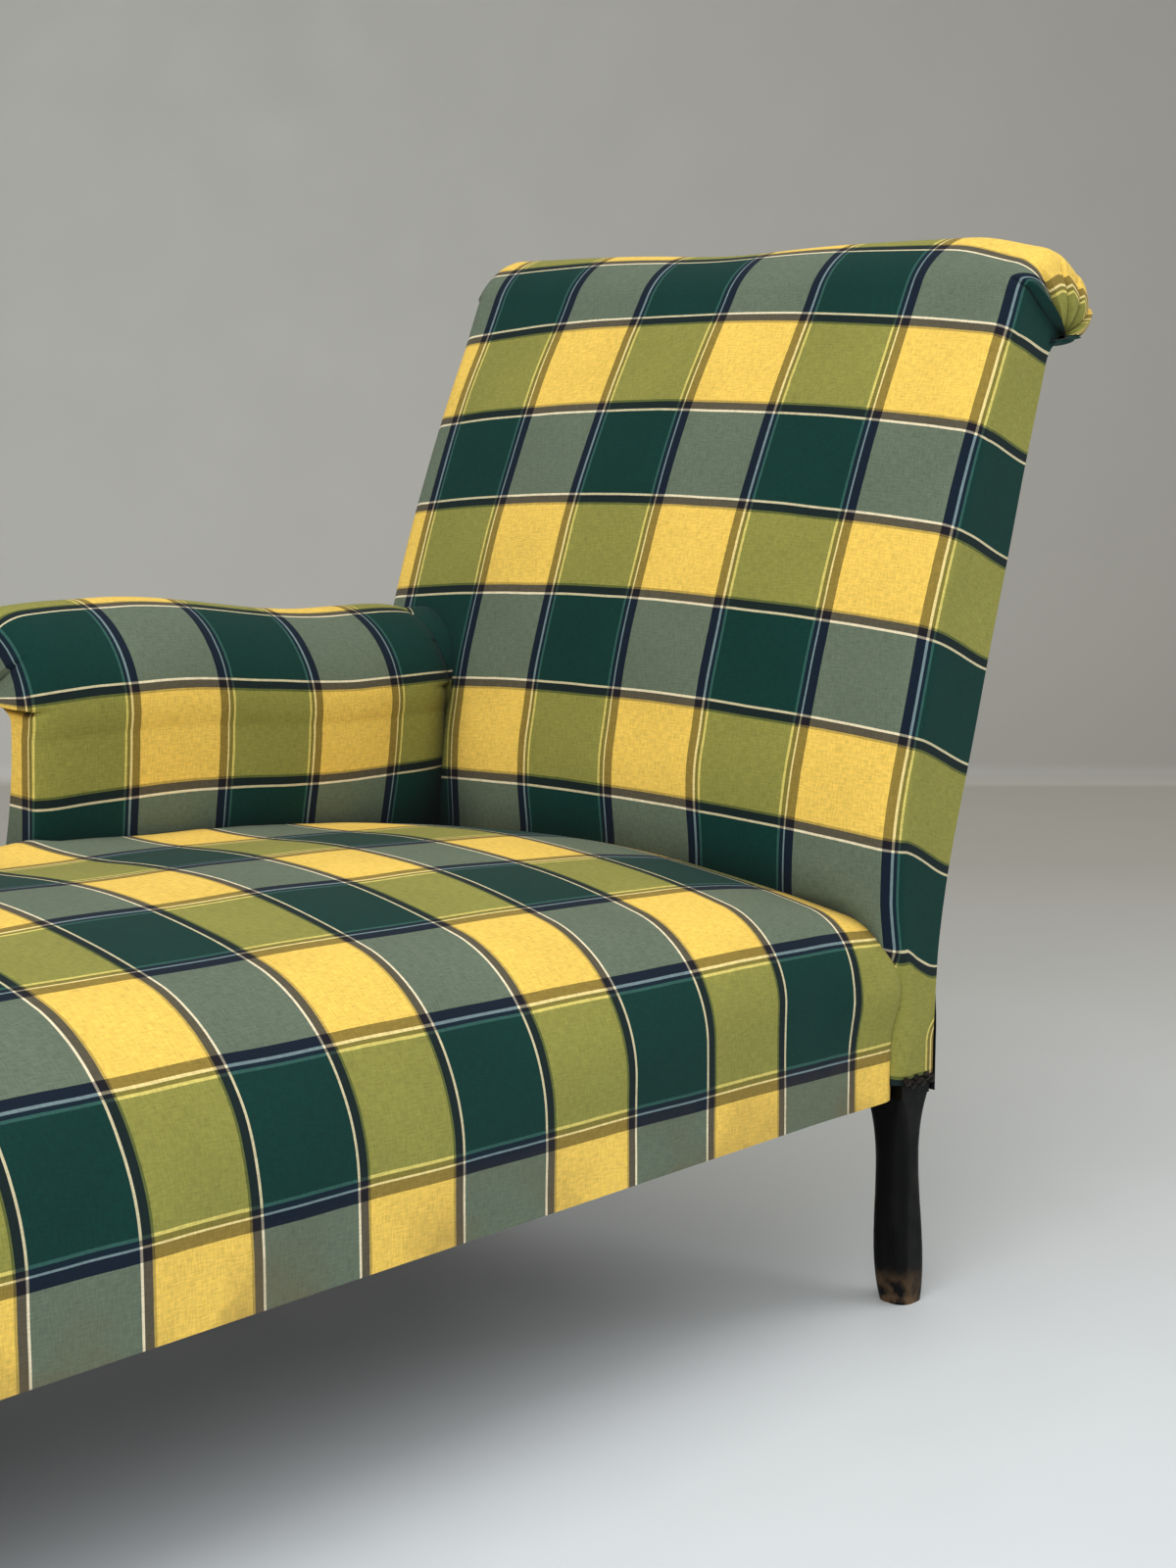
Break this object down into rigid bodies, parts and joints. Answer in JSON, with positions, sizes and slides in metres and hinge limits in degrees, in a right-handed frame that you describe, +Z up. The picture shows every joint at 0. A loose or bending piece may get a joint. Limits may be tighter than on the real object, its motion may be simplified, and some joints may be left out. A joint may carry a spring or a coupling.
{
  "type": "chaise longue",
  "caption": "Upholstered chaise longue in woven check, with a raked rolled back, one rolled arm, a domed sprung seat and ebonised tapered legs.",
  "frame": {"origin": "on the floor, below the middle of the overall box", "axes": "+X to the head end with the back, -Y to the open side, +Y to the side with the arm, +Z up"},
  "size_m": [1.5401, 0.6134, 0.8399],
  "materials": {
    "check_cloth": "woven cotton check in yellow, olive, dark green and grey-green, matt",
    "ebonised_wood": "ebonised, satin, worn at the foot",
    "frame_wood": "plain sawn beech",
    "dark_nails": "dark bronzed dome heads",
    "screw_steel": "plain steel",
    "spring_steel": "coppered spring wire, dull",
    "jute_webbing": "jute webbing",
    "hessian": "plain hessian",
    "stuffing": "hair and wadding",
    "black_lining": "black lining cloth"
  },
  "bodies": {
    "root": {"arm_canvas": "hessian", "arm_dowels": "frame_wood", "arm_front_facing": "check_cloth", "arm_front_post": "frame_wood", "arm_inside_cover": "check_cloth", "arm_lower_rail": "frame_wood", "arm_outside_cover": "check_cloth", "arm_roll_pleats": "check_cloth", "arm_stuffing": "stuffing", "arm_top_rail": "frame_wood", "back_canvas": "hessian", "back_cover": "check_cloth", "back_dowels": "frame_wood", "back_lower_rail": "frame_wood", "back_stuffing": "stuffing", "back_webbing": "jute_webbing", "corner_block_screws": "screw_steel", "corner_blocks": "frame_wood", "crest_rail": "frame_wood", "dust_cover": "black_lining", "far_foot_leg": "ebonised_wood", "far_head_leg_post": "ebonised_wood", "far_leg_nails": "dark_nails", "far_roll_pleats": "check_cloth", "far_side_rail": "frame_wood", "far_stile_cover": "check_cloth", "foot_cross_rail": "frame_wood", "frame_dowels": "frame_wood", "head_cross_rail": "frame_wood", "near_foot_leg": "ebonised_wood", "near_head_leg_post": "ebonised_wood", "near_leg_nails": "dark_nails", "near_roll_pleats": "check_cloth", "near_side_rail": "frame_wood", "near_stile_cover": "check_cloth", "outside_back_cover": "check_cloth", "seat_canvas": "hessian", "seat_cover": "check_cloth", "seat_springs": "spring_steel", "seat_stretcher": "frame_wood", "seat_stuffing": "stuffing", "seat_webbing_cross": "jute_webbing", "seat_webbing_long": "jute_webbing"}
  },
  "joints": []
}
